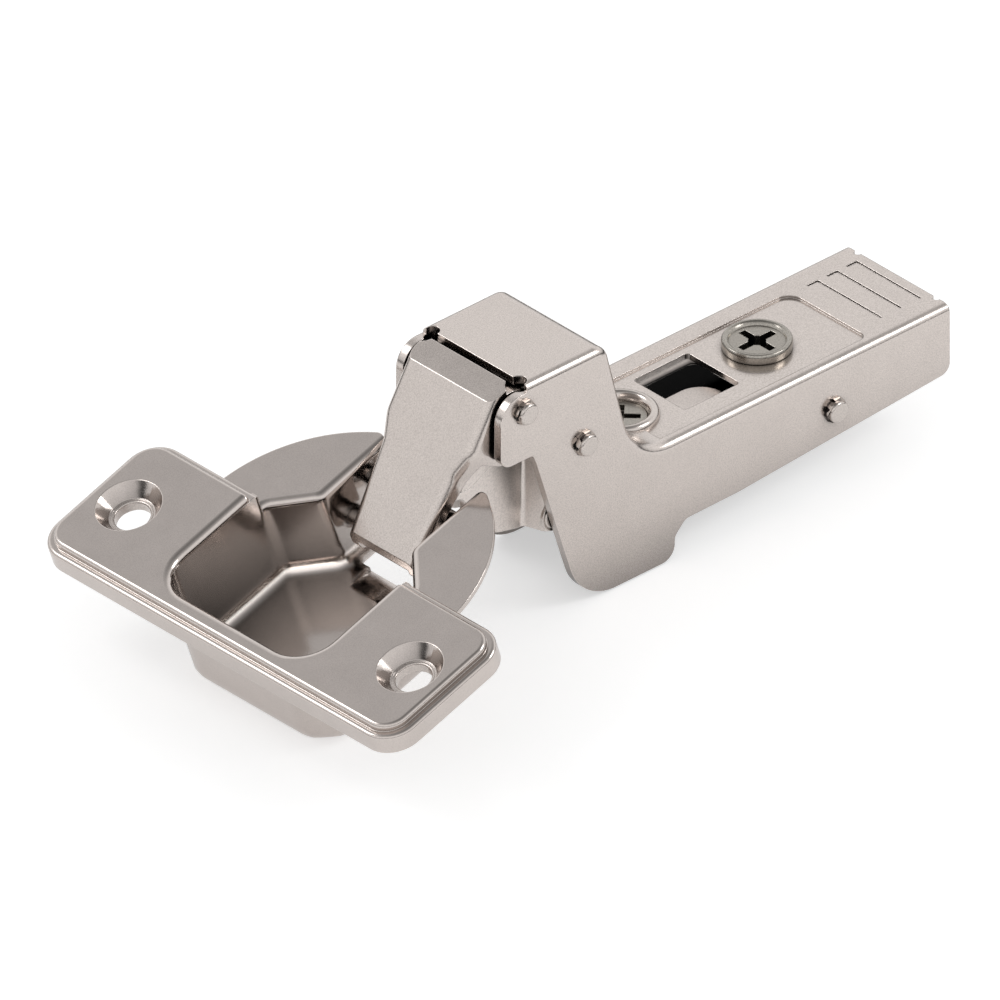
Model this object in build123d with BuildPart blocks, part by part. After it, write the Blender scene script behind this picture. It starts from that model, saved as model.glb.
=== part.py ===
"""Concealed cup hinge for a cabinet door, shown fully open, in millimetres.

+X runs along the arm to the rear, +Z is up, the hinge is the same on both sides of y = 0.
The origin is the middle of the line between the two screw holes, on top of the screw plate.
The cup is tilted about y: its own x axis runs from the plate to the neck, its z axis out of its mouth.
"""
import os
from math import cos, radians, sin, sqrt

from build123d import *

os.makedirs("parts", exist_ok=True)

# Cup: screw plate, flange and well
cup_tilt = 18.8
plate_x = 18.9
plate_y = 57.1
plate_h = 3.3
plate_corner_r = 3.8
lip_w = 0.95
lip_drop = 0.9
plate_wall = 1.1
plate_edge_r = 0.45
flange_x = 8.0
flange_r = 18.8
flange_t = 0.6
bore_r = 17.4
screw_pitch = 45.0
screw_hole_r = 2.42
sink_r = 3.8
sink_depth = 1.7
boss_r = 4.9
well_front = -6.3
well_half = 11.9
well_depth = 13.3
well_wall = 0.8
well_corner_r = 4.5
shoulder_x = 9.8
neck_x = 14.2
neck_half = 7.1
floor_end_x = 15.4
floor_gap_half = 6.0
ramp_x = 12.1
ramp_drop = 0.55
floor_r = 1.4
rim_r = 0.9
tip_r = 1.2

# Arm: one folded channel
arm_w = 16.8
arm_t = 1.05
fold_r = 0.95
arm_rear_x = 93.2
web_z = 0.1
hood_z = 16.6
hood_x = 30.6
hood_rear_x = 42.5
ear_x = 26.6
ear_z = 7.2
foot_z = -14.9
panel_depth = 0.3
groove_pitch = 2.9
groove_len = 10.2
groove_w = 0.3
window_x = 61.9
window_l = 8.2
window_w = 8.4

# Pivots, in x and z
axle_r = 1.3
axle_head = 1.0
cup_pin_r = 1.1
pin_fit = 0.05
outer_axle_x = 30.1
outer_axle_z = 13.4
inner_axle_x = 39.0
inner_axle_z = 5.6
outer_pin_x = 17.4
outer_pin_z = -8.4
inner_pin_x = 21.6
inner_pin_z = -6.2
rivet_x = 76.1
rivet_z = -6.0

# Outer link: crease point, direction and length of its front face
crease_x = 26.6
crease_z = 15.1
link_len = 20.0
link_half = 6.9
link_mid_half = 5.8
waist_start = 6.4
waist_end = 9.4
waist_r = 3.5
link_foot_half = 5.1
link_t = 1.1
link_fold_r = 1.0

# Inner link and its spring rollers
inner_half = 3.9
inner_t = 1.0
joggle_x = 34.6
roller_x = 36.0
roller_z = -3.0
roller_pin_r = 0.9
roller_r = 2.4
roller_fit = 0.08

# Closing spring on the inner link's axle
wire_r = 0.5
coil_r = 2.6
coil_pitch = 1.1

# Carriage inside the arm, with its depth cam and side screw
carriage_fit = 0.35
carriage_t = 1.0
carriage_z = -2.0
carriage_front_x = 49.0
carriage_rear_x = 88.0
carriage_foot_z = -8.4
slide_travel = 1.6
pad_x = 65.3
pad_y = 1.1
pad_r = 3.2
cam_x = 72.4
cam_head_r = 3.9
cam_head_h = 1.1
cam_shank_r = 2.7
cam_fit = 0.1
cam_throw = 1.75
cam_pin_r = 2.0
side_x = 52.0
side_screw_r = 3.0
collar_r = 4.4
collar_h = 0.6
neck_r = 1.6
thread_fit = 0.05

# Clip lever at the rear of the carriage
latch_x = 83.5
latch_z = -6.5
latch_axle_r = 1.25
latch_fit = 0.3
latch_t = 0.9

tilt = radians(cup_tilt)
cup_plane = Plane(origin=(0, 0, 0), x_dir=(cos(tilt), 0, sin(tilt)), z_dir=(-sin(tilt), 0, cos(tilt)))
cup_side = Plane(origin=(0, 0, 0), x_dir=(cos(tilt), 0, sin(tilt)), z_dir=(0, -1, 0))
cup_axis = Axis((0, 0, 0), (-sin(tilt), 0, cos(tilt)))
arm_in = arm_w / 2 - arm_t
carriage_half = arm_in - carriage_fit
latch_half = carriage_half - carriage_t - latch_fit
web_under = web_z - arm_t

# Round tips of the flange beside the neck: arc centre and where the arc runs into the flange's edge
tip_x = flange_x + sqrt((flange_r - tip_r) ** 2 - (neck_half + tip_r) ** 2)
tip_end_y = (neck_half + tip_r) * flange_r / (flange_r - tip_r)

# Well outline seen along the cup's own z axis, open past the flange at the neck
open_x = flange_x + flange_r + 3
well_points = [
    (well_front, -well_half),
    (shoulder_x, -well_half),
    (neck_x, -neck_half),
    (open_x, -neck_half),
    (open_x, neck_half),
    (neck_x, neck_half),
    (shoulder_x, well_half),
    (well_front, well_half),
]
well_radii = [well_corner_r, 1.6, 1.6, 0, 0, 1.6, 1.6, well_corner_r]

# Cup: one pressing
with BuildPart() as cup:
    with BuildSketch(cup_plane.offset(-plate_h)):
        RectangleRounded(plate_x, plate_y, plate_corner_r)
    extrude(amount=plate_h - lip_drop)
    fillet(cup.faces().sort_by(cup_axis)[-1].edges(), radius=plate_edge_r)
    with BuildSketch(cup_plane.offset(-plate_h)):
        RectangleRounded(plate_x - 2 * lip_w, plate_y - 2 * lip_w, plate_corner_r - lip_w)
    extrude(amount=plate_h)
    with BuildSketch(cup_plane.offset(-plate_h)):
        RectangleRounded(plate_x - 2 * plate_wall, plate_y - 2 * plate_wall, plate_corner_r - plate_wall)
        with Locations((0, screw_pitch / 2), (0, -screw_pitch / 2)):
            Circle(boss_r, mode=Mode.SUBTRACT)
    extrude(amount=plate_h - 1.3, mode=Mode.SUBTRACT)
    with BuildSketch(cup_plane.offset(-plate_h)):
        with Locations((flange_x, 0)):
            Circle(flange_r)
        with Locations((flange_r - plate_x / 2 + lip_w, 0)):
            Rectangle(2 * flange_r, 2 * flange_r + 2, mode=Mode.INTERSECT)
    extrude(amount=flange_t)
    with BuildSketch(cup_plane.offset(-well_depth - well_wall)):
        with BuildLine():
            FilletPolyline(*well_points, radius=well_radii, close=True)
        make_face()
        offset(amount=well_wall)
        with Locations((flange_x, 0)):
            Circle(bore_r, mode=Mode.INTERSECT)
    extrude(amount=well_depth + well_wall - plate_h + flange_t)
    fillet(cup.faces().sort_by(cup_axis)[0].edges(), radius=floor_r + well_wall)
    with BuildSketch(cup_plane.offset(-plate_h)):
        with BuildLine():
            FilletPolyline(
                *well_points[:3],
                *well_points[5:],
                radius=well_radii[:3] + well_radii[5:],
                close=True,
            )
        make_face()
        offset(amount=well_wall)
    extrude(amount=plate_h - 1.0)
    with BuildSketch(cup_plane.offset(-plate_h + flange_t)):
        with Locations((plate_x / 2 + 10, 0)):
            Rectangle(20, 2 * well_half + 4)
    extrude(amount=plate_h, mode=Mode.SUBTRACT)
    with BuildSketch(cup_plane.offset(-well_depth)):
        with BuildLine():
            FilletPolyline(*well_points, radius=well_radii, close=True)
        make_face()
    extrude(amount=well_depth + 1, mode=Mode.SUBTRACT)
    floor_edges = cup.edges().filter_by(
        lambda e: abs(cup_plane.to_local_coords(e.center()).Z + well_depth) < 0.01
        and cup_plane.to_local_coords(e.center()).X < neck_x + 8
    )
    fillet(floor_edges, radius=floor_r)
    with BuildSketch(cup_plane.offset(-well_depth - well_wall)):
        with Locations((floor_end_x + 10, 0)):
            RectangleRounded(20, 2 * floor_gap_half, 0.8)
    extrude(amount=well_wall + 2, mode=Mode.SUBTRACT)
    with BuildSketch(cup_side):
        with BuildLine():
            Polyline(
                (ramp_x, -well_depth),
                (floor_end_x + 0.1, -well_depth - ramp_drop),
                (floor_end_x + 0.1, -well_depth + 1),
                (ramp_x, -well_depth + 1),
                close=True,
            )
        make_face()
    extrude(amount=4.2, both=True, mode=Mode.SUBTRACT)
    with BuildSketch(cup_side):
        with BuildLine():
            Polyline(
                (19.6, -well_depth - 2),
                (19.6, -well_depth - well_wall),
                (flange_x + bore_r, -7.6),
                (flange_x + bore_r + 3, -well_depth - 2),
                close=True,
            )
        make_face()
    extrude(amount=neck_half + 3, both=True, mode=Mode.SUBTRACT)
    with BuildSketch(cup_plane.offset(-plate_h - 0.1)):
        with Locations((0, screw_pitch / 2), (0, -screw_pitch / 2)):
            Circle(screw_hole_r)
    extrude(amount=plate_h + 0.2, mode=Mode.SUBTRACT)
    with BuildSketch(cup_plane):
        with Locations((0, screw_pitch / 2), (0, -screw_pitch / 2)):
            Circle(sink_r)
    extrude(amount=-sink_depth, taper=35, mode=Mode.SUBTRACT)
    rim_edges = cup.edges().filter_by(
        lambda e: abs(cup_plane.to_local_coords(e.center()).Z) < 0.01
        and abs(cup_plane.to_local_coords(e.center()).Y) < well_half + 0.1
        and cup_plane.to_local_coords(e.center()).X > well_front - 0.1
    )
    fillet(rim_edges, radius=rim_r)
    low_rim_edges = cup.edges().filter_by(
        lambda e: abs(cup_plane.to_local_coords(e.center()).Z + plate_h - flange_t) < 0.01
        and abs(cup_plane.to_local_coords(e.center()).Y) < well_half + 0.1
        and cup_plane.to_local_coords(e.center()).X > plate_x / 2
    )
    fillet(low_rim_edges, radius=rim_r)
    pad_edges = cup.edges().filter_by(
        lambda e: abs(cup_plane.to_local_coords(e.center()).Z) < 0.01
        and (
            abs(cup_plane.to_local_coords(e.center()).X) > plate_x / 2 - lip_w - 0.1
            or abs(cup_plane.to_local_coords(e.center()).Y) > plate_y / 2 - plate_corner_r
        )
    )
    fillet(pad_edges, radius=plate_edge_r)
    with BuildSketch(cup_side):
        with Locations((outer_pin_x, outer_pin_z), (inner_pin_x, inner_pin_z)):
            Circle(cup_pin_r)
    extrude(amount=neck_half + 3, both=True, mode=Mode.SUBTRACT)
    for side in (-1, 1):
        with BuildSketch(cup_plane.offset(-plate_h - 0.1)):
            with Locations((tip_x, side * neck_half)):
                Rectangle(6, 2 * (tip_end_y - neck_half), align=(Align.MIN, Align.CENTER))
            with Locations((tip_x, side * (neck_half + tip_r))):
                Circle(tip_r, mode=Mode.SUBTRACT)
        extrude(amount=plate_h, mode=Mode.SUBTRACT)
    cup.part.label = "cup"

# Arm: side outline from the front of the hood, then ears, hood hollow and rear rail
hood_top = [(hood_x, hood_z), (hood_rear_x, hood_z), (hood_rear_x + 4.2, web_z)]
arm_under = [
    (arm_rear_x, -8.4),
    (62.0, -10.5),
    (54.0, -10.6),
    (52.4, -12.2),
    (52.4, foot_z),
    (38.6, foot_z),
    (36.5, -8.4),
    (31.9, ear_z - 1.2),
    (31.4, ear_z),
    (hood_x, ear_z),
]
with BuildPart() as arm:
    with BuildSketch(Plane.XZ):
        with BuildLine():
            FilletPolyline(
                *hood_top,
                (arm_rear_x, web_z),
                *arm_under,
                radius=[0, 2.0, 6.7, 0, 1.3, 0, 1.2, 1.2, 1.8, 7.0, 0, 0, 0.6, 0],
                close=True,
            )
        make_face()
    extrude(amount=arm_w / 2, both=True)
    fold_edges = arm.edges().filter_by(
        lambda e: abs(abs(e.center().Y) - arm_w / 2) < 0.01
        and e.center().Z > web_z - 0.05
        and (e.center().X > hood_rear_x - 1 or e.center().Z > hood_z - 0.05)
    )
    fillet(fold_edges, radius=fold_r)
    with BuildSketch(Plane.XZ):
        with BuildLine():
            FilletPolyline(
                (10, hood_z),
                *hood_top[1:],
                (arm_rear_x + 10, web_z),
                (arm_rear_x + 10, -30),
                (10, -30),
                radius=[0, 2.0, 6.7, 0, 0, 0],
                close=True,
            )
        make_face()
        offset(amount=-arm_t)
    extrude(amount=arm_in, both=True, mode=Mode.SUBTRACT)
    for side in (-1, 1):
        with BuildSketch(Plane.XZ.offset(-side * arm_w / 2)):
            with BuildLine():
                FilletPolyline(
                    (ear_x, ear_z),
                    (hood_x + 1, ear_z),
                    (hood_x + 1, hood_z - fold_r),
                    (ear_x, hood_z - fold_r),
                    radius=[1.6, 0, 0, 2.9],
                    close=True,
                )
            make_face()
        extrude(amount=side * arm_t)
    with BuildSketch(Plane.XY.offset(hood_z + 1)):
        with Locations((hood_x, arm_in - 0.4), (hood_x, -arm_in + 0.4)):
            Circle(0.9)
    extrude(amount=-3, mode=Mode.SUBTRACT)
    with BuildSketch(Plane.XY.offset(web_z + 1)):
        with Locations((arm_rear_x, 6.3), (arm_rear_x, -6.3)):
            Circle(0.5)
    extrude(amount=-3, mode=Mode.SUBTRACT)
    with BuildSketch(Plane.XY.offset(web_z - panel_depth)):
        with BuildLine():
            FilletPolyline(
                (hood_rear_x + 9.0, -7.0),
                (82.3, -7.0),
                (82.3, 5.45),
                (hood_rear_x + 9.0, 5.45),
                radius=[0, 1.0, 2.0, 0],
                close=True,
            )
        make_face()
    extrude(amount=5, mode=Mode.SUBTRACT)
    with BuildSketch(Plane.XY.offset(web_z + 1)):
        with Locations((window_x, 0)):
            RectangleRounded(window_l, window_w, 0.5)
        with Locations((cam_x, 0)):
            Circle(cam_shank_r + cam_fit)
        with Locations((side_x, 0)):
            Circle(collar_r - 0.4)
    extrude(amount=-4, mode=Mode.SUBTRACT)
    with BuildSketch(Plane.XY.offset(web_z - panel_depth)):
        with Locations((side_x, 0)):
            Circle(collar_r + thread_fit)
    extrude(amount=3, mode=Mode.SUBTRACT)
    with BuildSketch(Plane.XY.offset(web_z - 0.25)):
        for groove in range(3):
            with Locations((arm_rear_x - 1.4 - groove * groove_pitch, -0.1)):
                Rectangle(groove_w, groove_len)
            with Locations((arm_rear_x - 2.05 - groove * groove_pitch, groove_len / 2 - 0.1)):
                Rectangle(1.6, groove_w)
    extrude(amount=1, mode=Mode.SUBTRACT)
    with BuildSketch(Plane.XZ):
        with Locations((outer_axle_x, outer_axle_z), (inner_axle_x, inner_axle_z), (rivet_x, rivet_z)):
            Circle(axle_r)
    extrude(amount=arm_w, both=True, mode=Mode.SUBTRACT)
    arm.part.label = "arm"

# Axles and rear rivet, each peened outside the arm
with BuildPart() as outer_link_axle:
    with BuildSketch(Plane.XZ):
        with Locations((outer_axle_x, outer_axle_z)):
            Circle(axle_r)
    extrude(amount=arm_w / 2 + axle_head, both=True)
    fillet(outer_link_axle.edges().filter_by(GeomType.CIRCLE), radius=0.35)
    outer_link_axle.part.label = "outer_link_axle"

with BuildPart() as inner_link_axle:
    with BuildSketch(Plane.XZ):
        with Locations((inner_axle_x, inner_axle_z)):
            Circle(axle_r)
    extrude(amount=arm_w / 2 + axle_head, both=True)
    fillet(inner_link_axle.edges().filter_by(GeomType.CIRCLE), radius=0.35)
    inner_link_axle.part.label = "inner_link_axle"

with BuildPart() as rear_rivet:
    with BuildSketch(Plane.XZ):
        with Locations((rivet_x, rivet_z)):
            Circle(axle_r)
    extrude(amount=arm_w / 2 + axle_head, both=True)
    fillet(rear_rivet.edges().filter_by(GeomType.CIRCLE), radius=0.35)
    rear_rivet.part.label = "rear_rivet"

# Pins across the cup's neck
with BuildPart() as outer_cup_pin:
    with BuildSketch(cup_side):
        with Locations((outer_pin_x, outer_pin_z)):
            Circle(cup_pin_r)
    extrude(amount=neck_half + well_wall, both=True)
    outer_cup_pin.part.label = "outer_cup_pin"

with BuildPart() as inner_cup_pin:
    with BuildSketch(cup_side):
        with Locations((inner_pin_x, inner_pin_z)):
            Circle(cup_pin_r)
    extrude(amount=neck_half + well_wall, both=True)
    inner_cup_pin.part.label = "inner_cup_pin"

# Outer link: cranked sheet with side flanges folded back round both pins
foot_x = crease_x - 0.51 * link_len
foot_low_z = crease_z - 0.86 * link_len
cup_x = outer_pin_x * cos(tilt) - outer_pin_z * sin(tilt)
cup_z = outer_pin_x * sin(tilt) + outer_pin_z * cos(tilt)
link_plane = Plane(origin=(crease_x, 0, crease_z), x_dir=(-0.51, 0, -0.86), z_dir=(-0.86, 0, 0.51))
with BuildPart() as outer_link:
    with BuildSketch(Plane.XZ):
        with BuildLine():
            FilletPolyline(
                (crease_x, crease_z),
                (foot_x, foot_low_z),
                (cup_x - 1.9, cup_z - 2.1),
                (cup_x + 1.7, cup_z - 2.6),
                (cup_x + 2.5, cup_z + 0.3),
                (crease_x - 6.05, crease_z - 14.2),
                (crease_x - 5.25, crease_z - 12.58),
                (crease_x - 1.33, crease_z - 7.35),
                (crease_x + 2.14, crease_z - 8.94),
                (outer_axle_x + 2.1, outer_axle_z - 2.4),
                (outer_axle_x + 1.95, outer_axle_z + 1.75),
                (crease_x + 3.44, crease_z + 0.29),
                (crease_x + 3.0, crease_z + 1.3),
                radius=[0, 0, 1.2, 1.5, 1.2, 0, 0.8, 0.5, 1.2, 1.4, 1.65, 0, 0],
                close=True,
            )
        make_face()
    extrude(amount=link_half, both=True)
    with BuildSketch(link_plane):
        with BuildLine():
            FilletPolyline(
                (-8, link_half),
                (waist_start, link_half),
                (waist_end, link_mid_half),
                (link_len + 6, link_foot_half - 0.3),
                (link_len + 6, -link_foot_half + 0.3),
                (waist_end, -link_mid_half),
                (waist_start, -link_half),
                (-8, -link_half),
                radius=[0, waist_r, waist_r, 0, 0, waist_r, waist_r, 0],
                close=True,
            )
        make_face()
    extrude(amount=-14, mode=Mode.INTERSECT)
    side_folds = outer_link.edges().filter_by(
        lambda e: abs(link_plane.to_local_coords(e.center()).Z) < 0.01
        and abs(link_plane.to_local_coords(e.center()).Y) > link_foot_half - 0.5
    )
    fillet(side_folds, radius=link_fold_r)
    with BuildSketch(link_plane.offset(-link_t)):
        with BuildLine():
            FilletPolyline(
                (0.355, link_half - link_t),
                (waist_start, link_half - link_t),
                (waist_end, link_mid_half - link_t),
                (link_len + 6, link_foot_half - 0.3 - link_t),
                (link_len + 6, -link_foot_half + 0.3 + link_t),
                (waist_end, -link_mid_half + link_t),
                (waist_start, -link_half + link_t),
                (0.355, -link_half + link_t),
                radius=[0, waist_r, waist_r, 0, 0, waist_r, waist_r, 0],
                close=True,
            )
        make_face()
    extrude(amount=-14, mode=Mode.SUBTRACT)
    with BuildSketch(Plane.XZ):
        with BuildLine():
            Polyline(
                (crease_x + 0.77, crease_z - 0.87),
                (crease_x + 4.44, crease_z + 0.72),
                (crease_x + 10, crease_z + 0.7),
                (crease_x + 10, crease_z - 6.35),
                close=True,
            )
        make_face()
    extrude(amount=link_half - link_t, both=True, mode=Mode.SUBTRACT)
    with BuildSketch(Plane.XY.offset(crease_z + 0.36)):
        with BuildLine(Plane.XY.offset(crease_z + 0.36)):
            Polyline(
                (crease_x + 4.4, link_half - 2.1),
                (crease_x + 2.5, link_half - 0.6),
                (crease_x + 2.0, link_half + 0.3),
                (crease_x + 4.4, link_half + 0.3),
                close=True,
            )
        make_face()
        mirror(about=Plane.XZ)
    extrude(amount=3, mode=Mode.SUBTRACT)
    with BuildSketch(Plane.XZ):
        with Locations((outer_axle_x, outer_axle_z)):
            Circle(axle_r + pin_fit)
        with Locations((cup_x, cup_z)):
            Circle(cup_pin_r + pin_fit)
    extrude(amount=arm_w, both=True, mode=Mode.SUBTRACT)
    outer_link.part.label = "outer_link"

# Inner link: narrow forked end round the inner cup pin, joggled out to wide plates at the arm
pin_x = inner_pin_x * cos(tilt) - inner_pin_z * sin(tilt)
pin_z = inner_pin_x * sin(tilt) + inner_pin_z * cos(tilt)
fork_low = pin_z - 1.08 - cup_pin_r - 0.05
fork_high = pin_z + 0.2 + cup_pin_r
with BuildPart() as inner_link:
    with BuildSketch(Plane.XZ):
        with BuildLine():
            FilletPolyline(
                (pin_x - 0.15, fork_high),
                (pin_x + 3.15, fork_high),
                (pin_x + 3.15, fork_low),
                (pin_x - 1.5, fork_low),
                (pin_x - 0.9, fork_low - 0.8),
                (pin_x + 4.0, fork_low - 0.8),
                (roller_x - 5.8, roller_z - 1.3),
                (roller_x - 2.7, roller_z - 2.0),
                (roller_x + 1.6, roller_z - 1.9),
                (inner_axle_x + 3.2, inner_axle_z - 2.0),
                (inner_axle_x + 2.8, inner_axle_z + 2.9),
                (inner_axle_x - 1.5, inner_axle_z + 3.3),
                (inner_axle_x - 6.3, inner_axle_z + 1.0),
                (pin_x + 3.95, fork_high + 0.75),
                (pin_x - 0.15, fork_high + 0.75),
                radius=[0, 1.2, 1.2, 0, 0, 2.0, 3.0, 2.0, 2.0, 2.5, 2.5, 2.5, 0, 1.0, 0],
                close=True,
            )
        make_face()
    extrude(amount=arm_in, both=True)
    with BuildSketch(Plane.XY.offset(-15)):
        with BuildLine(Plane.XY.offset(-15)):
            FilletPolyline(
                (10, inner_half),
                (joggle_x - 0.6, inner_half),
                (joggle_x + 0.4, arm_in - 0.45),
                (60, arm_in - 0.45),
                (60, -arm_in + 0.45),
                (joggle_x + 0.4, -arm_in + 0.45),
                (joggle_x - 0.6, -inner_half),
                (10, -inner_half),
                radius=[0, 0.6, 1.2, 0, 0, 1.2, 0.6, 0],
                close=True,
            )
        make_face()
    extrude(amount=40, mode=Mode.INTERSECT)
    with BuildSketch(Plane.XZ):
        with BuildLine():
            Polyline(
                (pin_x - 5, fork_high + 0.05),
                (pin_x + 4.4, fork_high + 0.05),
                (inner_axle_x - 5.7, inner_axle_z + 0.1),
                (joggle_x - 0.7, 30),
                (60, 30),
                (60, -12),
                (pin_x - 5, -12),
                close=True,
            )
        make_face()
    extrude(amount=inner_half - inner_t, both=True, mode=Mode.SUBTRACT)
    with BuildSketch(Plane.XY.offset(-15)):
        with BuildLine(Plane.XY.offset(-15)):
            FilletPolyline(
                (joggle_x - 0.1, 0),
                (joggle_x - 0.1, inner_half - inner_t),
                (joggle_x + 1.4, arm_in - 0.45 - inner_t),
                (60, arm_in - 0.45 - inner_t),
                (60, -arm_in + 0.45 + inner_t),
                (joggle_x + 1.4, -arm_in + 0.45 + inner_t),
                (joggle_x - 0.1, -inner_half + inner_t),
                radius=[0, 0.8, 0.4, 0, 0, 0.4, 0.8],
                close=True,
            )
        make_face()
    extrude(amount=40, mode=Mode.SUBTRACT)
    with BuildSketch(Plane.XZ):
        with Locations((inner_axle_x, inner_axle_z)):
            Circle(axle_r + pin_fit)
        with Locations((roller_x, roller_z)):
            Circle(roller_pin_r)
    extrude(amount=arm_w, both=True, mode=Mode.SUBTRACT)
    inner_link.part.label = "inner_link"

with BuildPart() as roller_pin:
    with BuildSketch(Plane.XZ):
        with Locations((roller_x, roller_z)):
            Circle(roller_pin_r)
    extrude(amount=arm_in - 0.35, both=True)
    roller_pin.part.label = "roller_pin"

with BuildPart() as spring_roller:
    with BuildSketch(Plane.XZ):
        with Locations((roller_x, roller_z)):
            Circle(roller_r)
            Circle(roller_pin_r + roller_fit, mode=Mode.SUBTRACT)
    extrude(amount=inner_half - inner_t - 0.2, both=True)
    spring_roller.part.label = "spring_roller"

# Closing spring: outer coils and their bridge rest on the hood's rear wall, the inner coils carry the legs
spring_y = 5.0
leg_y = 2.1
bridge_x = 43.8
leg_x = roller_x - 2.75
leg_z = roller_z + 0.95
leg_angle = 160.8
leg_top_x = inner_axle_x + coil_r * cos(radians(leg_angle))
leg_top_z = inner_axle_z + coil_r * sin(radians(leg_angle))
low_z = inner_axle_z - coil_r
with BuildPart() as closing_spring:
    for side in (-1, 1):
        with BuildLine() as coil_line:
            Helix(
                coil_pitch,
                coil_pitch * 1.5,
                coil_r,
                center=(inner_axle_x, side * spring_y, inner_axle_z),
                direction=(0, -side, 0),
                lefthand=side > 0,
            )
        with BuildLine() as bridge_line:
            FilletPolyline(
                coil_line.line @ 0,
                (bridge_x, side * spring_y, low_z),
                (bridge_x, 0, low_z),
                radius=1.2,
            )
        with BuildSketch(Plane(origin=coil_line.line @ 0, z_dir=coil_line.line % 0)):
            Circle(wire_r)
        sweep(path=coil_line.line)
        with BuildSketch(Plane(origin=coil_line.line @ 0, z_dir=coil_line.line % 0)):
            Circle(wire_r)
        sweep(path=bridge_line.line)
    closing_spring.part.label = "closing_spring"

with BuildPart() as spring_leg_near:
    with BuildLine(Plane.XZ.offset(leg_y)) as near_leg_line:
        Line((leg_x - 0.55, leg_z - 1.3), (leg_top_x, leg_top_z))
        CenterArc((inner_axle_x, inner_axle_z), coil_r, leg_angle, -330)
    with BuildSketch(Plane(origin=near_leg_line.line @ 0, z_dir=near_leg_line.line % 0)):
        Circle(wire_r)
    sweep(path=near_leg_line.line)
    spring_leg_near.part.label = "spring_leg_near"

with BuildPart() as spring_leg_far:
    with BuildLine(Plane.XZ.offset(-leg_y)) as far_leg_line:
        Line((leg_x - 0.55, leg_z - 1.3), (leg_top_x, leg_top_z))
        CenterArc((inner_axle_x, inner_axle_z), coil_r, leg_angle, -330)
    with BuildSketch(Plane(origin=far_leg_line.line @ 0, z_dir=far_leg_line.line % 0)):
        Circle(wire_r)
    sweep(path=far_leg_line.line)
    spring_leg_far.part.label = "spring_leg_far"

# Carriage: inner rail that clips on the mounting plate and slides in the arm
carriage_len = carriage_rear_x - carriage_front_x
with BuildPart() as carriage:
    with BuildSketch(Plane.XY.offset(carriage_foot_z)):
        with Locations((carriage_front_x + carriage_len / 2, 0)):
            Rectangle(carriage_len, 2 * carriage_half)
    extrude(amount=carriage_z - carriage_foot_z)
    fillet(carriage.edges().filter_by(Axis.X).group_by(Axis.Z)[-1], radius=0.8)
    with BuildSketch(Plane.XY.offset(carriage_foot_z - 1)):
        with Locations((carriage_front_x + carriage_len / 2, 0)):
            Rectangle(carriage_len + 2, 2 * carriage_half - 2 * carriage_t)
    extrude(amount=carriage_z - carriage_foot_z - carriage_t + 1, mode=Mode.SUBTRACT)
    with BuildSketch(Plane.XY.offset(carriage_z + 1)):
        with Locations((side_x - 2, 0)):
            RectangleRounded(4 + 2 * slide_travel + 2 * neck_r + 0.4, 2 * neck_r + 0.2, neck_r)
        with Locations((carriage_front_x, 0)):
            Rectangle(4, 2 * neck_r + 0.2)
        with Locations((cam_x, cam_throw - 0.44)):
            RectangleRounded(2 * cam_pin_r + 0.2, 2 * cam_pin_r + 1.15, 0.6)
        with BuildLine():
            FilletPolyline(
                (window_x - 5.6, pad_y),
                (pad_x, pad_y),
                (pad_x, -window_w / 2 - 0.4),
                (pad_x + 3.0, -window_w / 2 - 0.4),
                (pad_x + 3.0, window_w / 2 + 1.3),
                (window_x - 5.6, window_w / 2 + 1.3),
                radius=[1.0, pad_r, 0.8, 0.8, 1.2, 1.2],
                close=True,
            )
        make_face()
    extrude(amount=-4, mode=Mode.SUBTRACT)
    with BuildSketch(Plane.XZ):
        with Locations((rivet_x, rivet_z)):
            SlotOverall(2 * slide_travel + 2 * axle_r + 0.2, 2 * axle_r + 0.2)
        with Locations((latch_x, latch_z)):
            Circle(latch_axle_r)
    extrude(amount=arm_w, both=True, mode=Mode.SUBTRACT)
    carriage.part.label = "carriage"

# Depth cam: head on the arm, round shank in the web, eccentric pin in the carriage's slot
panel_z = web_z - panel_depth
with BuildPart() as depth_cam_screw:
    with BuildSketch(Plane.XY.offset(panel_z + 0.02)):
        with Locations((cam_x, 0)):
            Circle(cam_head_r)
    extrude(amount=cam_head_h)
    fillet(depth_cam_screw.faces().sort_by(Axis.Z)[-1].edges(), radius=0.3)
    with BuildSketch(Plane.XY.offset(panel_z + cam_head_h - 0.3)):
        with Locations((cam_x, 0)):
            Circle(cam_head_r - 0.75)
    extrude(amount=1, taper=-20, mode=Mode.SUBTRACT)
    with BuildSketch(Plane.XY.offset(panel_z + 0.1)):
        with Locations((cam_x, 0)):
            Circle(cam_shank_r)
    extrude(amount=-1.6)
    with BuildSketch(Plane.XY.offset(web_under - 0.05)):
        with Locations((cam_x, 0)):
            Circle(cam_shank_r + 0.7)
    extrude(amount=-0.5)
    with BuildSketch(Plane.XY.offset(web_under - 0.3)):
        with Locations((cam_x, cam_throw)):
            Circle(cam_pin_r)
    extrude(amount=carriage_z - carriage_t - web_under + 0.3 - 0.5)
    with BuildSketch(Plane.XY.offset(panel_z + 2)):
        with Locations((cam_x, 0)):
            Rectangle(5.0, 0.95)
            Rectangle(0.95, 5.0)
            Circle(1.0)
    extrude(amount=-3.0, mode=Mode.SUBTRACT)
    depth_cam_screw.part.label = "depth_cam_screw"

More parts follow.
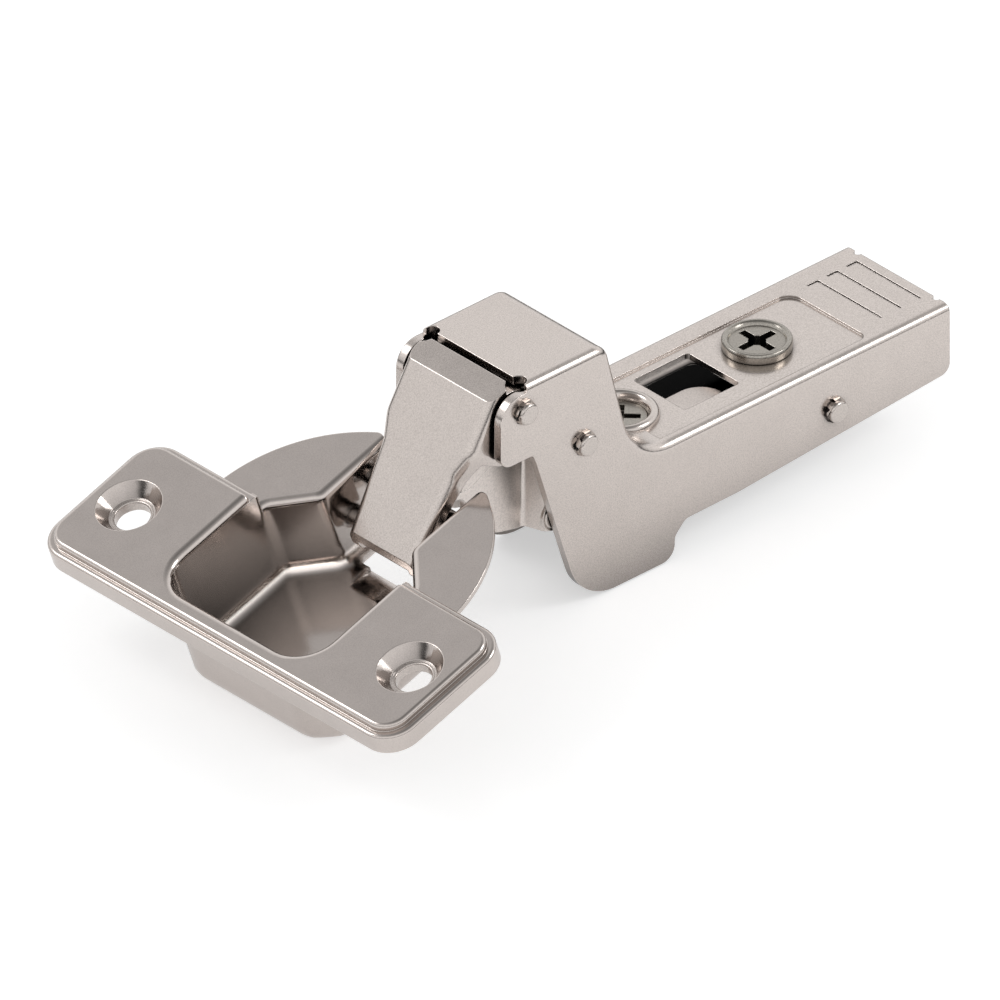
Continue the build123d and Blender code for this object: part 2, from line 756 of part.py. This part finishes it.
# Side screw in its threaded collar, with a neck and disc in the carriage's fork
with BuildPart() as side_screw_collar:
    with BuildSketch(Plane.XY.offset(panel_z)):
        with Locations((side_x, 0)):
            Circle(collar_r)
    extrude(amount=collar_h)
    fillet(side_screw_collar.edges().group_by(Axis.Z)[-1], radius=0.25)
    with BuildSketch(Plane.XY.offset(panel_z)):
        with Locations((side_x, 0)):
            Circle(collar_r - 0.4)
    extrude(amount=-1.4)
    with BuildSketch(Plane.XY.offset(panel_z + 1)):
        with Locations((side_x, 0)):
            Circle(side_screw_r + thread_fit)
    extrude(amount=-4, mode=Mode.SUBTRACT)
    side_screw_collar.part.label = "side_screw_collar"

with BuildPart() as side_screw:
    with BuildSketch(Plane.XY.offset(panel_z - 0.15)):
        with Locations((side_x, 0)):
            Circle(side_screw_r)
    extrude(amount=-1.4)
    with BuildSketch(Plane.XY.offset(carriage_z + 0.5)):
        with Locations((side_x, 0)):
            Circle(neck_r)
    extrude(amount=-carriage_t - 0.8)
    with BuildSketch(Plane.XY.offset(carriage_z - carriage_t - 0.1)):
        with Locations((side_x, 0)):
            Circle(2.75)
    extrude(amount=-0.8)
    with BuildSketch(Plane(origin=(0, 0, panel_z + 1))):
        with Locations((side_x, 0)):
            Rectangle(4.6, 0.9, rotation=45)
            Rectangle(4.6, 0.9, rotation=-45)
    extrude(amount=-2.0, mode=Mode.SUBTRACT)
    side_screw.part.label = "side_screw"

# Clip lever, its axle and its spring at the rear of the carriage
with BuildPart() as latch_axle:
    with BuildSketch(Plane.XZ):
        with Locations((latch_x, latch_z)):
            Circle(latch_axle_r)
    extrude(amount=carriage_half, both=True)
    latch_axle.part.label = "latch_axle"

with BuildPart() as latch_lever:
    with BuildSketch(Plane.XZ):
        with BuildLine():
            FilletPolyline(
                (latch_x - 2.0, latch_z + 2.0),
                (latch_x + 8.0, latch_z + 2.0),
                (latch_x + 8.0, latch_z - 2.9),
                (latch_x + 6.4, latch_z - 3.6),
                (latch_x - 0.4, latch_z - 3.0),
                (latch_x - 3.4, latch_z - 3.6),
                (latch_x - 3.0, latch_z - 1.6),
                radius=[1.8, 0.8, 0.8, 0.6, 1.0, 0.3, 0.8],
                close=True,
            )
        make_face()
    extrude(amount=latch_half, both=True)
    with BuildSketch(Plane.XY.offset(latch_z - 8)):
        with Locations((latch_x - 3, 0)):
            Rectangle(2 * 10.1, 2 * (latch_half - latch_t))
    extrude(amount=16, mode=Mode.SUBTRACT)
    with BuildSketch(Plane.XZ):
        with Locations((latch_x, latch_z)):
            Circle(latch_axle_r + pin_fit)
    extrude(amount=arm_w, both=True, mode=Mode.SUBTRACT)
    latch_lever.part.label = "latch_lever"

latch_coil_r = latch_axle_r + 0.5
latch_wire_r = 0.35
latch_pitch = 0.8
latch_spring_y = 1.3
with BuildPart() as latch_spring:
    with BuildLine() as latch_coil_line:
        Helix(
            latch_pitch,
            latch_pitch * 3.25,
            latch_coil_r,
            center=(latch_x, latch_spring_y, latch_z),
            direction=(0, -1, 0),
            lefthand=True,
        )
    with BuildSketch(Plane(origin=latch_coil_line.line @ 0, z_dir=latch_coil_line.line % 0)):
        Circle(latch_wire_r)
    sweep(path=latch_coil_line.line)
    with BuildLine() as low_leg_line:
        Line(latch_coil_line.line @ 0, (latch_x + 6.75, latch_spring_y, latch_z - latch_coil_r))
    with BuildSketch(Plane(origin=latch_coil_line.line @ 0, z_dir=latch_coil_line.line % 0)):
        Circle(latch_wire_r)
    sweep(path=low_leg_line.line)
    with BuildLine() as high_leg_line:
        Line(
            latch_coil_line.line @ 1,
            (latch_x - latch_coil_r, latch_spring_y - latch_pitch * 3.25, carriage_z - carriage_t - 0.03),
        )
    with BuildSketch(Plane(origin=latch_coil_line.line @ 1, z_dir=latch_coil_line.line % 1)):
        Circle(latch_wire_r)
    sweep(path=high_leg_line.line)
    latch_spring.part.label = "latch_spring"

export_step(cup.part, "parts/cup.step")
export_step(arm.part, "parts/arm.step")
export_step(outer_link_axle.part, "parts/outer_link_axle.step")
export_step(inner_link_axle.part, "parts/inner_link_axle.step")
export_step(rear_rivet.part, "parts/rear_rivet.step")
export_step(outer_cup_pin.part, "parts/outer_cup_pin.step")
export_step(inner_cup_pin.part, "parts/inner_cup_pin.step")
export_step(outer_link.part, "parts/outer_link.step")
export_step(inner_link.part, "parts/inner_link.step")
export_step(roller_pin.part, "parts/roller_pin.step")
export_step(spring_roller.part, "parts/spring_roller.step")
export_step(closing_spring.part, "parts/closing_spring.step")
export_step(spring_leg_near.part, "parts/spring_leg_near.step")
export_step(spring_leg_far.part, "parts/spring_leg_far.step")
export_step(carriage.part, "parts/carriage.step")
export_step(depth_cam_screw.part, "parts/depth_cam_screw.step")
export_step(side_screw_collar.part, "parts/side_screw_collar.step")
export_step(side_screw.part, "parts/side_screw.step")
export_step(latch_axle.part, "parts/latch_axle.step")
export_step(latch_lever.part, "parts/latch_lever.step")
export_step(latch_spring.part, "parts/latch_spring.step")
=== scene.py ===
"""Looks of a concealed cup hinge: satin nickel on pressed sheet, turned screws and spring wire."""

import bmesh
import bpy
import numpy as np
from mathutils import Matrix, Vector


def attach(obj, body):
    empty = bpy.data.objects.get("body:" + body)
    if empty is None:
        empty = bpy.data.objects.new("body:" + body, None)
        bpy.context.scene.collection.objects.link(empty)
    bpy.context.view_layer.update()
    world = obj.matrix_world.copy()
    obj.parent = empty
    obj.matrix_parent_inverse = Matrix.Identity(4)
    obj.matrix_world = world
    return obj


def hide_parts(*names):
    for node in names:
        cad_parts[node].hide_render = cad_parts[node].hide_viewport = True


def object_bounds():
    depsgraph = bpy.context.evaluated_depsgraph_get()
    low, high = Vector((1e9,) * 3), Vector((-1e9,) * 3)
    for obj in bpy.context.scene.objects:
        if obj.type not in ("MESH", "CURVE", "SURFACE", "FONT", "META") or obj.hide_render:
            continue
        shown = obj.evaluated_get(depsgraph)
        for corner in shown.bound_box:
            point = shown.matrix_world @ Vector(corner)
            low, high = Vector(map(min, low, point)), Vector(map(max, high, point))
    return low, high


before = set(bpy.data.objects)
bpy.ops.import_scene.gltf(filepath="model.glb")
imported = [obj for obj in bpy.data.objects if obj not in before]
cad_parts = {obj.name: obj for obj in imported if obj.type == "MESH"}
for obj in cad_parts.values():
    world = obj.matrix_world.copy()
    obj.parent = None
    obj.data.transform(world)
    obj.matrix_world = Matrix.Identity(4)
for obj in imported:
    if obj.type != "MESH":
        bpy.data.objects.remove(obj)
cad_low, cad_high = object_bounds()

mm = 0.001
both_sides = (("near", -1), ("far", 1))

# The view, as the picture was taken: a long lens, so that lines stay parallel
view_right = Vector((0.7333, -0.6798, 0.0))
view_up = Vector((0.3624, 0.3909, 0.8462))
view_middle = Vector((34.25, 0.0, -3.61)) * mm
view_width = 108.8 * mm
camera_distance = 400 * mm

# The floor: its half width in metres, its own tone, and its glow to the eye and to the metal
floor_z = cad_low.z - 0.1 * mm
floor_half = 0.2
floor_tone = 0.72
floor_glow = 0.5
floor_sheen = 0.36

# Places taken over from the part, in millimetres
cup_tilt = np.radians(18.8)
cup_up = (-np.sin(cup_tilt), 0, np.cos(cup_tilt))
screw_pitch = 45.0
sink_depth = 1.72
arm_half = 8.4
panel_z = -0.2
side_x = 52.0
cam_x = 72.4
roller_x = 36.0
roller_z = -3.0
roller_end_y = 6.9
pin_places = {"outer_link_axle": (30.1, 13.4), "inner_link_axle": (39.0, 5.6), "rear_rivet": (76.1, -6.0)}

# Pieces of the looks alone, in millimetres
pin_flats = 11
cheek_in = 2.95
cheek_out = 3.88
lip_ends = (66.0, 80.0)

# Heights in millimetres, on the cup's axis and upright in the carriage: below them the folds are rounder, the
# well's fold gets a painted highlight, and the carriage is painted in shade
round_folds_below = -3.6
well_fold = -12.6
carriage_dark_below = -2.35

# Spots to the metre in the plating and in the painted facet light of the pin heads, and the rounding of edges
# and of the well's folds
patch_scale = 260.0
speck_scale = 6800.0
facet_spot_scale = 1500.0
edge_radius = 0.16 * mm
fold_radius = 1.1 * mm

# Brightness of the studio by the height of the direction: 0 level, 1 overhead
sky_tones = [(0.0, 0.02), (0.07, 0.76), (0.3, 1.0), (0.5, 1.04), (0.7, 0.86), (0.78, 0.58), (1.0, 0.24)]
white = (1, 1, 1, 1)

# Nickel tones, as light they give back under a white sky
sheet_nickel = (0.70, 0.635, 0.595)
cup_nickel = (0.645, 0.585, 0.55)
pin_nickel = (0.68, 0.62, 0.58)
# The inner link is the sheet's nickel painted lighter, standing in for light on its plates
link_nickel_painted_lighter = (0.84, 0.77, 0.725)
peened_nickel = (0.56, 0.50, 0.46)
screw_nickel = (0.45, 0.42, 0.378)
spring_steel = (0.26, 0.24, 0.22)


def add_camera():
    """An orthographic camera at the picture's angle, its frame as wide as view_width."""
    lens = bpy.data.cameras.new("camera")
    lens.type = "ORTHO"
    lens.ortho_scale = view_width
    lens.clip_end = 10
    camera = bpy.data.objects.new("camera", lens)
    bpy.context.collection.objects.link(camera)
    back = view_right.cross(view_up).normalized()
    camera.rotation_mode = "QUATERNION"
    camera.rotation_quaternion = Matrix((view_right, view_up, back)).transposed().to_quaternion()
    camera.location = view_middle + back * camera_distance
    bpy.context.scene.camera = camera


def add_lamp(name, place, aim, size, power):
    """A square soft lamp at place, turned to aim; all in millimetres, and the power in watts."""
    lamp = bpy.data.lights.new(name, "AREA")
    lamp.shape = "SQUARE"
    lamp.size = size * mm
    lamp.energy = power
    carrier = bpy.data.objects.new(name, lamp)
    bpy.context.collection.objects.link(carrier)
    carrier.location = Vector(place) * mm
    carrier.rotation_mode = "QUATERNION"
    carrier.rotation_quaternion = (Vector(aim) * mm - carrier.location).to_track_quat("-Z", "Y")


def new_node(tree, kind, **values):
    """A shader node of that kind; values name its properties, or its inputs with spaces as underscores."""
    node = tree.nodes.new(kind)
    for name, value in values.items():
        if hasattr(node, name):
            setattr(node, name, value)
        else:
            node.inputs[name.replace("_", " ")].default_value = value
    return node


def feed(tree, socket, value):
    """Links a node's output into a socket, or sets the socket to a fixed value."""
    if isinstance(value, bpy.types.NodeSocket):
        tree.links.new(value, socket)
    else:
        socket.default_value = value


def ramp(tree, source, stops):
    """A colour ramp fed by source, with stops of (place, grey or colour)."""
    node = tree.nodes.new("ShaderNodeValToRGB")
    bands = node.color_ramp.elements
    while len(bands) < len(stops):
        bands.new(0.5)
    for fold_highlight, (place, tone) in zip(bands, stops):
        fold_highlight.position = place
        fold_highlight.color = (*tone, 1) if isinstance(tone, tuple) else (tone, tone, tone, 1)
    tree.links.new(source, node.inputs[0])
    return node.outputs[0]


def math(tree, operation, first, second):
    """A maths node on two sockets or numbers."""
    node = new_node(tree, "ShaderNodeMath", operation=operation)
    feed(tree, node.inputs[0], first)
    feed(tree, node.inputs[1], second)
    return node.outputs[0]


def blend(tree, share, first, second, kind="MIX"):
    """The first colour giving way to the second by a share."""
    node = new_node(tree, "ShaderNodeMix", data_type="RGBA", blend_type=kind)
    for socket, value in zip((node.inputs[0], node.inputs[6], node.inputs[7]), (share, first, second)):
        feed(tree, socket, value)
    return node.outputs[2]


def multiply(tree, first, second):
    """One colour darkened by another."""
    return blend(tree, 1.0, first, second, kind="MULTIPLY")


def noise(tree, place, scale, detail, roughness):
    """A mottled grey over the surface."""
    node = new_node(tree, "ShaderNodeTexNoise", Scale=scale, Detail=detail, Roughness=roughness)
    tree.links.new(place, node.inputs["Vector"])
    return node.outputs[0]


def reach_along(tree, vector, direction):
    """How far a vector reaches along a direction; either is a socket or fixed."""
    node = new_node(tree, "ShaderNodeVectorMath", operation="DOT_PRODUCT")
    feed(tree, node.inputs[0], vector)
    feed(tree, node.inputs[1], direction)
    return node.outputs["Value"]


def rise_above(tree, height, level, span):
    """The rise of a height above a level as a share of span; level and span in millimetres."""
    return math(tree, "MULTIPLY", math(tree, "SUBTRACT", height, level * mm), 1 / (span * mm))


def add_world():
    """A studio bright round the horizon, grey higher up and dark below the horizon, past the floor's end."""
    world = bpy.data.worlds.new("studio")
    world.use_nodes = True
    bpy.context.scene.world = world
    tree = world.node_tree
    tree.nodes.clear()
    place = tree.nodes.new("ShaderNodeTexCoord")
    split = tree.nodes.new("ShaderNodeSeparateXYZ")
    tree.links.new(place.outputs["Generated"], split.inputs[0])
    sky = ramp(tree, split.outputs["Z"], sky_tones)
    ray = tree.nodes.new("ShaderNodeLightPath")
    seen = blend(tree, ray.outputs["Is Camera Ray"], sky, white)
    light = tree.nodes.new("ShaderNodeBackground")
    out = tree.nodes.new("ShaderNodeOutputWorld")
    tree.links.new(seen, light.inputs[0])
    tree.links.new(light.outputs[0], out.inputs[0])


def add_floor():
    """A pale floor: white to the eye, bright to the metal, with the hinge's soft shadow on it."""
    ends = [(x * floor_half, y * floor_half, floor_z) for x, y in ((-1, -1), (1, -1), (1, 1), (-1, 1))]
    mesh = bpy.data.meshes.new("floor")
    mesh.from_pydata(ends, [], [(0, 1, 2, 3)])
    floor = bpy.data.objects.new("floor", mesh)
    bpy.context.collection.objects.link(floor)
    paint = bpy.data.materials.new("pale_floor")
    paint.use_nodes = True
    tree = paint.node_tree
    shader = tree.nodes["Principled BSDF"]
    shader.inputs["Base Color"].default_value = (floor_tone, floor_tone, floor_tone, 1)
    shader.inputs["Roughness"].default_value = 0.9
    shader.inputs["Specular IOR Level"].default_value = 0.0
    ray = tree.nodes.new("ShaderNodeLightPath")
    glow = math(tree, "MULTIPLY", ray.outputs["Is Camera Ray"], floor_glow)
    sheen = math(tree, "MULTIPLY", ray.outputs["Is Glossy Ray"], floor_sheen)
    shader.inputs["Emission Color"].default_value = white
    tree.links.new(math(tree, "ADD", glow, sheen), shader.inputs["Emission Strength"])
    mesh.materials.append(paint)


def rounded_normal(tree, place, round_below):
    """The surface's direction with its edges rounded, and the folds more so below a height in the cup."""
    node = new_node(tree, "ShaderNodeBevel", samples=8, Radius=edge_radius)
    if round_below is not None:
        share = rise_above(tree, reach_along(tree, place, cup_up), round_below - 1.0, 1.0)
        tree.links.new(ramp(tree, share, [(0.0, fold_radius), (1.0, edge_radius)]), node.inputs["Radius"])
    return node.outputs[0]


def well_light(tree, metal, shadow):
    """Painted light inside the cup's well: lighter painted shade on the floor than on the walls, and a
    painted highlight in a band round the fold.
    """
    upright = reach_along(tree, metal["normal"], cup_up)
    floor_shadow = ramp(tree, metal["openness"], [(0.2, 0.9), (0.8, 1.0)])
    shadow = blend(tree, ramp(tree, upright, [(0.5, 0.0), (0.95, 1.0)]), shadow, floor_shadow)
    rise = rise_above(tree, reach_along(tree, metal["place"], cup_up), well_fold - 0.9, 1.8)
    sloped = ramp(tree, upright, [(0.05, 0.0), (0.35, 1.0), (0.8, 1.0), (0.95, 0.0)])
    fold_highlight = ramp(tree, rise, [(0.0, 0.0), (0.35, 1.0), (0.65, 1.0), (1.0, 0.0)])
    # Painted highlight: the band round the fold is lifted well above the metal's own tone
    return blend(tree, multiply(tree, sloped, fold_highlight), shadow, (1.7, 1.7, 1.7, 1))


def carriage_light(tree, metal, shadow):
    """Painted shade: under the arm's web the carriage darkens to black below a height."""
    height = reach_along(tree, metal["place"], (0, 0, 1))
    lit = ramp(tree, rise_above(tree, height, carriage_dark_below - 0.5, 0.5), [(0.0, 0.0), (1.0, 1.0)])
    return multiply(tree, shadow, lit)


def painted_facet_light(tree, metal, shadow):
    """Faces turned to the front are painted in spots of three tones, dark, mid and bright, as painted shade
    and highlights of facets.
    """
    spots = new_node(tree, "ShaderNodeTexVoronoi", Scale=facet_spot_scale)
    tree.links.new(metal["place"], spots.inputs["Vector"])
    tones = ramp(tree, spots.outputs["Color"], [(0.42, 0.03), (0.44, 0.3), (0.58, 0.3), (0.6, 1.0)])
    front = ramp(tree, reach_along(tree, metal["flat"], (-1, 0, 0)), [(0.1, 0.0), (0.3, 1.0)])
    return blend(tree, front, shadow, tones)


def nickel(
    name, colour, roughness, grain=1.0, edge_highlight=0.5, shade=0.6, reach=6.0, alone=True, deepest=0.2,
    round_below=None, relight=None,
):
    """Plated metal: mottled tone, fine grain, a painted highlight on the edges, and painted shade where light
    hardly reaches.

    edge_highlight is the strength of the painted highlight on the edges, which are also made smoother; shade
    is the painted shade in the corners that light misses.
    The light is looked for within reach millimetres; alone says that only the piece's own walls shade it,
    and deepest is the openness to the light at which the shade is full.
    round_below is a height along the cup's axis under which the folds are rounder.
    relight, if given, changes the painted shade and highlight for one kind of piece.
    """
    paint = bpy.data.materials.new(name)
    paint.use_nodes = True
    tree = paint.node_tree
    shader = tree.nodes["Principled BSDF"]
    place = tree.nodes.new("ShaderNodeTexCoord").outputs["Object"]
    patches = noise(tree, place, patch_scale, 4.0, 0.6)
    specks = noise(tree, place, speck_scale, 3.0, 0.75)
    normal = rounded_normal(tree, place, round_below)
    flat = tree.nodes.new("ShaderNodeNewGeometry").outputs["Normal"]
    highlight_and_polish_edges = ramp(tree, reach_along(tree, normal, flat), [(0.86, 1.0), (0.985, 0.0)])
    # Painted shade: the colour darkens where ambient occlusion finds little light within reach
    deep = new_node(tree, "ShaderNodeAmbientOcclusion", samples=8, only_local=alone, Distance=reach * mm)
    openness = deep.outputs["AO"]
    shadow = ramp(tree, openness, [(deepest, shade), (0.8, 1.0)])
    if relight:
        shadow = relight(tree, {"place": place, "normal": normal, "flat": flat, "openness": openness}, shadow)
    tone = ramp(tree, patches, [(0.3, tuple(c * 0.95 for c in colour)), (0.7, colour)])
    speck = ramp(tree, specks, [(0.38, 1 - 0.22 * grain), (0.58, 1.0)])
    base = multiply(tree, multiply(tree, tone, speck), shadow)
    # Painted highlight: on the edges the colour is lifted towards a brighter tone of itself
    bright = (*(min(1.0, c * 1.3) for c in colour), 1)
    highlighted = blend(tree, math(tree, "MULTIPLY", highlight_and_polish_edges, edge_highlight), base, bright)
    tree.links.new(highlighted, shader.inputs["Base Color"])
    shader.inputs["Metallic"].default_value = 1.0
    rough = ramp(tree, patches, [(0.3, roughness * 0.88), (0.7, roughness * 1.12)])
    polish = math(tree, "MULTIPLY", highlight_and_polish_edges, 0.7 * edge_highlight * roughness)
    tree.links.new(math(tree, "SUBTRACT", rough, polish), shader.inputs["Roughness"])
    bump = new_node(tree, "ShaderNodeBump", Strength=0.13 * grain, Distance=0.02 * mm)
    tree.links.new(specks, bump.inputs["Height"])
    tree.links.new(normal, bump.inputs["Normal"])
    tree.links.new(bump.outputs[0], shader.inputs["Normal"])
    return paint


def add_piece(name, points, faces, paint, body):
    """A mesh of points in millimetres as a finished piece that rides on body, its doubles merged."""
    mesh = bpy.data.meshes.new(name)
    mesh.from_pydata((np.asarray(points) * mm).tolist(), [], faces)
    work = bmesh.new()
    work.from_mesh(mesh)
    bmesh.ops.remove_doubles(work, verts=work.verts, dist=0.0005 * mm)
    bmesh.ops.recalc_face_normals(work, faces=work.faces)
    work.to_mesh(mesh)
    work.free()
    mesh.shade_smooth()
    mesh.set_sharp_from_angle(angle=0.6)
    mesh.materials.append(paint)
    piece = bpy.data.objects.new(name, mesh)
    bpy.context.collection.objects.link(piece)
    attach(piece, body)
    return piece


def grid_faces(rows, columns, wrap_rows=False, wrap_columns=True):
    """Four-sided faces over a grid of points numbered row by row."""
    i = np.arange(rows if wrap_rows else rows - 1)[:, None]
    j = np.arange(columns if wrap_columns else columns - 1)[None, :]
    right = (j + 1) % columns
    below = (i + 1) % rows
    corners = (i * columns + j, i * columns + right, below * columns + right, below * columns + j)
    return np.stack(corners, -1).reshape(-1, 4).tolist()


def turned(name, profile, place, axis, paint, body, sides=72, ripple=None):
    """A surface of revolution: the profile of (radius, height) goes round the axis at place.

    The point at angle t and row k is place + radius * (cos t, sin t) across the axis + height along it.
    ripple, if given, is a function of angle and row that scales the radius.
    """
    radius, height = np.array(profile, float).T[:, :, None]
    angle = np.linspace(0, 2 * np.pi, sides, endpoint=False)[None, :]
    if ripple:
        radius = radius * ripple(angle, np.arange(len(profile))[:, None])
    along = np.array(axis, float)
    side = np.cross((0, 0, 1) if abs(along[2]) < 0.9 else (0, 1, 0), along)
    side /= np.linalg.norm(side)
    across = np.cross(along, side)
    x = (radius * np.cos(angle))[..., None]
    y = (radius * np.sin(angle))[..., None]
    z = (height + 0 * angle)[..., None]
    points = x * side + y * across + z * along + np.array(place)
    return add_piece(name, points.reshape(-1, 3), grid_faces(len(profile), sides), paint, body)


def peened(angle, row):
    """Uneven flats that a riveting die leaves: each flat of the head stands a little in or out."""
    flat = np.round(angle / (2 * np.pi) * pin_flats)
    return 1 - 0.05 * (1 + np.sin(flat * 2.4)) - 0.05 * np.sin(flat * 1.7 + row * 2)


def add_pin_heads():
    """Peened ends of the two link axles and of the rear rivet, on both sides of the arm."""
    dome = [(1.5, 0.0), (1.52, 0.32), (1.4, 0.62), (1.1, 0.86), (0.62, 0.97), (0, 1.0)]
    for name, (x, z) in pin_places.items():
        for side, sign in both_sides:
            label = f"{name}_head_{side}"
            place = (x, sign * arm_half, z)
            axis = (0, sign, 0)
            head = turned(label, dome, place, axis, head_paint, "arm", pin_flats, peened)
            head.data.set_sharp_from_angle(angle=0.2)


def add_roller_pin_ends():
    """Stepped ends of the roller pin, just proud of the inner link's plates."""
    wide = [(1.95, -0.25), (1.95, 0.08), (1.88, 0.14), (1.55, 0.16)]
    narrow = [(1.5, 0.24), (1.4, 0.27), (0.8, 0.27), (0.6, 0.2), (0, 0.2)]
    for side, sign in both_sides:
        label = f"roller_pin_end_{side}"
        place = (roller_x, sign * roller_end_y, roller_z)
        turned(label, wide + narrow, place, (0, sign, 0), pins, "inner_link", 48)


def add_link_cheeks():
    """The raised top edge of the inner link's narrow plates, between the cup and the joggle.

    The piece is a bar from corner to corner of (x, z), whose height goes from nothing to full and back.
    """
    low = np.array([(24.6, 2.6), (26.6, 2.9), (29.5, 4.4), (33.2, 6.4)])
    high = np.array([(24.9, 3.3), (25.6, 4.5), (29.3, 6.3), (33.2, 7.3)])
    last = len(low) - 1
    along = np.linspace(0, last, 25)
    corners = np.arange(len(low))
    lower, upper = (np.stack([np.interp(along, corners, e[:, k]) for k in (0, 1)], 1) for e in (low, high))
    middle = (lower + upper) / 2
    swell = np.clip(np.minimum(along, last - along) / 0.15, 0, 1)[:, None]
    lower = middle + (lower - middle) * swell
    upper = middle + (upper - middle) * swell
    faces = grid_faces(4, len(along), True, False)
    for side, sign in both_sides:
        rows = ((lower, cheek_in), (lower, cheek_out), (upper, cheek_out), (upper, cheek_in))
        points = np.stack([np.insert(edge, 1, sign * y, axis=1) for edge, y in rows]).reshape(-1, 3)
        label = f"inner_link_cheek_{side}"
        add_piece(label, points, faces, link_paint, "inner_link")


def add_carriage_lips():
    """Inward lips along the carriage's feet, in painted shade, that close the view through the window onto
    the floor; thin strips whose section (y, z) runs along x.
    """
    section = np.array([(5.0, -8.2), (4.9, -8.1), (5.0, -8.0), (6.3, -8.0), (6.3, -8.2)])
    count = len(section)
    faces = grid_faces(2, count) + [tuple(range(count)), tuple(range(count, 2 * count))]
    for side, sign in both_sides:
        points = np.concatenate([np.insert(section * (sign, 1), 0, x, axis=1) for x in lip_ends])
        add_piece(f"carriage_lip_{side}", points, faces, carriage_paint, "carriage")


def add_cam_rim():
    """The cam screw's raised rim: a round bead on an upright wall."""
    ring = [
        (3.02, 0.72),
        (3.1, 0.84),
        (3.22, 1.05),
        (3.38, 1.2),
        (3.58, 1.24),
        (3.78, 1.18),
        (3.9, 1.02),
        (3.94, 0.8),
        (3.92, 0.05),
        (3.7, 0.03),
        (3.02, 0.72),
    ]
    place = (cam_x, 0, panel_z)
    turned("cam_rim", ring, place, (0, 0, 1), rim_paint, "depth_cam_screw", 96)


def add_side_screw():
    """The collar's round raised ring, in place of the plain one."""
    low = panel_z - 1.35
    top = panel_z + 0.85
    ring = [
        (3.06, low),
        (3.06, panel_z - 0.1),
        (3.22, panel_z + 0.3),
        (3.4, panel_z + 0.66),
        (3.6, top - 0.04),
        (3.8, top),
        (4.02, top - 0.05),
        (4.22, top - 0.2),
        (4.36, top - 0.45),
        (4.4, panel_z + 0.05),
        (4.4, panel_z - 0.2),
        (4.0, panel_z - 0.2),
        (4.0, low),
        (3.06, low),
    ]
    piece = turned("side_screw_ring", ring, (side_x, 0, 0), (0, 0, 1), ring_paint, "arm", 96)
    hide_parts("side_screw_collar")


def add_sink_rings():
    """The step at the bottom of each countersink, a thin bright ring round the screw hole."""
    top = [(2.05, -0.12), (2.15, 0.0), (2.3, 0.03), (2.5, 0.0), (2.66, -0.06)]
    ring = [(2.05, -1.2), *top, (2.66, -1.2), (2.05, -1.2)]
    for side, sign in both_sides:
        place = np.array((0, sign * screw_pitch / 2, 0)) - np.array(cup_up) * sink_depth
        turned(f"sink_ring_{side}", ring, place, cup_up, sheet, "cup")


bpy.context.scene.view_settings.view_transform = "Standard"
add_camera()
add_world()
add_floor()
add_lamp("right_box", place=(225, -190, 215), aim=(35, 0, 0), size=130, power=0.22)
add_lamp("left_box", place=(-115, 205, 235), aim=(20, 0, 0), size=130, power=0.17)

# Most nickels below carry painted shade where light hardly reaches and a painted highlight on their edges;
# the channel, cup and pins are painted darkest in their hollows
sheet = nickel("satin_nickel_sheet", sheet_nickel, 0.21)
channel = nickel("satin_nickel_channel", sheet_nickel, 0.21, shade=0.06, reach=14.0, alone=False)
cup_paint = nickel(
    "bright_nickel_cup", cup_nickel, 0.13, grain=0.4, edge_highlight=0.75, shade=0.05, reach=18.0, deepest=0.34,
    round_below=round_folds_below, relight=well_light,
)
link_paint = nickel("inner_link_nickel", link_nickel_painted_lighter, 0.34)
pins = nickel("pin_nickel", pin_nickel, 0.22, shade=0.04, reach=8.0, alone=False)
screws = nickel("screw_nickel", screw_nickel, 0.3, grain=1.3, shade=0.2, reach=3.0, alone=False)
head_paint = nickel("peened_nickel", peened_nickel, 0.1, grain=0.3, edge_highlight=0, relight=painted_facet_light)
rim_paint = nickel("worn_screw_nickel", screw_nickel, 0.16, grain=1.6, shade=0.25, reach=1.5, alone=False)
ring_paint = nickel("bright_ring_nickel", pin_nickel, 0.18, grain=0.5)
springs = nickel("spring_steel", spring_steel, 0.35)
carriage_paint = nickel("shaded_nickel", sheet_nickel, 0.3, relight=carriage_light)
paints = {
    "cup": cup_paint,
    "arm": channel,
    "depth_cam_screw": screws,
    "side_screw": screws,
    "side_screw_collar": screws,
    "carriage": carriage_paint,
    "inner_link": link_paint,
    "closing_spring": springs,
    "spring_leg_near": springs,
    "spring_leg_far": springs,
    "latch_spring": springs,
    "outer_link_axle": pins,
    "inner_link_axle": pins,
    "rear_rivet": pins,
    "outer_cup_pin": pins,
    "inner_cup_pin": pins,
    "roller_pin": pins,
}
for name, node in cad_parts.items():
    node.data.materials.clear()
    node.data.materials.append(paints.get(name, sheet))

add_pin_heads()
add_roller_pin_ends()
add_link_cheeks()
add_carriage_lips()
add_cam_rim()
add_side_screw()
add_sink_rings()
